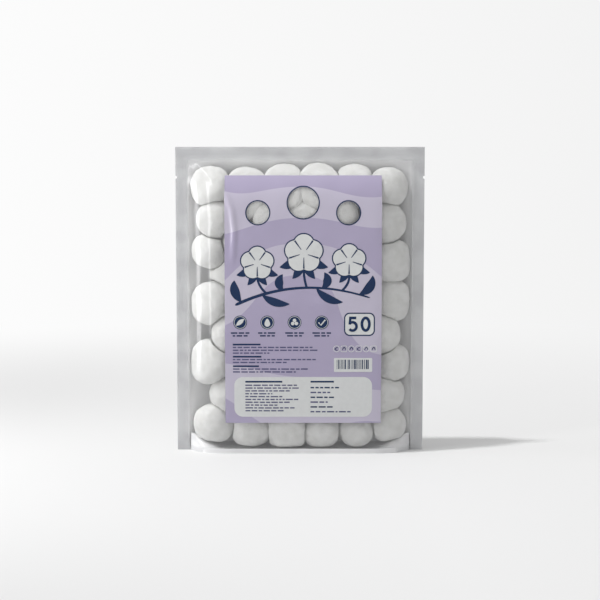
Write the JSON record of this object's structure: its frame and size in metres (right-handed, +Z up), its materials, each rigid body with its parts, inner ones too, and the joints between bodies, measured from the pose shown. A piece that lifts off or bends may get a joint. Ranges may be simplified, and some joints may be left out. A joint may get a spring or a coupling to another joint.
{
  "type": "pouch of cotton balls",
  "caption": "Sealed stand-up pouch with a clear front, full of soft white cotton balls, with a printed label on its front, for a shelf, desk or bathroom scene.",
  "frame": {"origin": "on the floor, under the middle of the pouch's base", "axes": "+Z up along the pouch's height, +Y from its labelled front to its back, +X to the right as the front is looked at"},
  "size_m": [0.203, 0.043, 0.25],
  "materials": {
    "clear_film": "clear glossy film, faintly milky where it is heat-sealed",
    "white_film": "opaque white film with a soft gloss, for the back and the base",
    "label_print": "satin print in two tones of lavender with navy and white",
    "cotton": "matt white loose cotton fibre"
  },
  "bodies": {
    "root": {"front_film": "clear_film", "back_film": "white_film", "base_gusset": "white_film", "front_label": "label_print", "cotton_ball_01": "cotton", "cotton_ball_02": "cotton", "cotton_ball_03": "cotton", "cotton_ball_04": "cotton", "cotton_ball_05": "cotton", "cotton_ball_06": "cotton", "cotton_ball_07": "cotton", "cotton_ball_08": "cotton", "cotton_ball_09": "cotton", "cotton_ball_10": "cotton", "cotton_ball_11": "cotton", "cotton_ball_12": "cotton", "cotton_ball_13": "cotton", "cotton_ball_14": "cotton", "cotton_ball_15": "cotton", "cotton_ball_16": "cotton", "cotton_ball_17": "cotton", "cotton_ball_18": "cotton", "cotton_ball_19": "cotton", "cotton_ball_20": "cotton", "cotton_ball_21": "cotton", "cotton_ball_22": "cotton", "cotton_ball_23": "cotton", "cotton_ball_24": "cotton", "cotton_ball_25": "cotton", "cotton_ball_26": "cotton", "cotton_ball_27": "cotton", "cotton_ball_28": "cotton", "cotton_ball_29": "cotton", "cotton_ball_30": "cotton", "cotton_ball_31": "cotton", "cotton_ball_32": "cotton", "cotton_ball_33": "cotton", "cotton_ball_34": "cotton", "cotton_ball_35": "cotton", "cotton_ball_36": "cotton", "cotton_ball_37": "cotton", "cotton_ball_38": "cotton", "cotton_ball_39": "cotton", "cotton_ball_40": "cotton", "cotton_ball_41": "cotton", "cotton_ball_42": "cotton", "cotton_ball_43": "cotton", "cotton_ball_44": "cotton", "cotton_ball_45": "cotton", "cotton_ball_46": "cotton", "cotton_ball_47": "cotton", "cotton_ball_48": "cotton", "cotton_ball_49": "cotton", "cotton_ball_50": "cotton"}
  },
  "joints": []
}
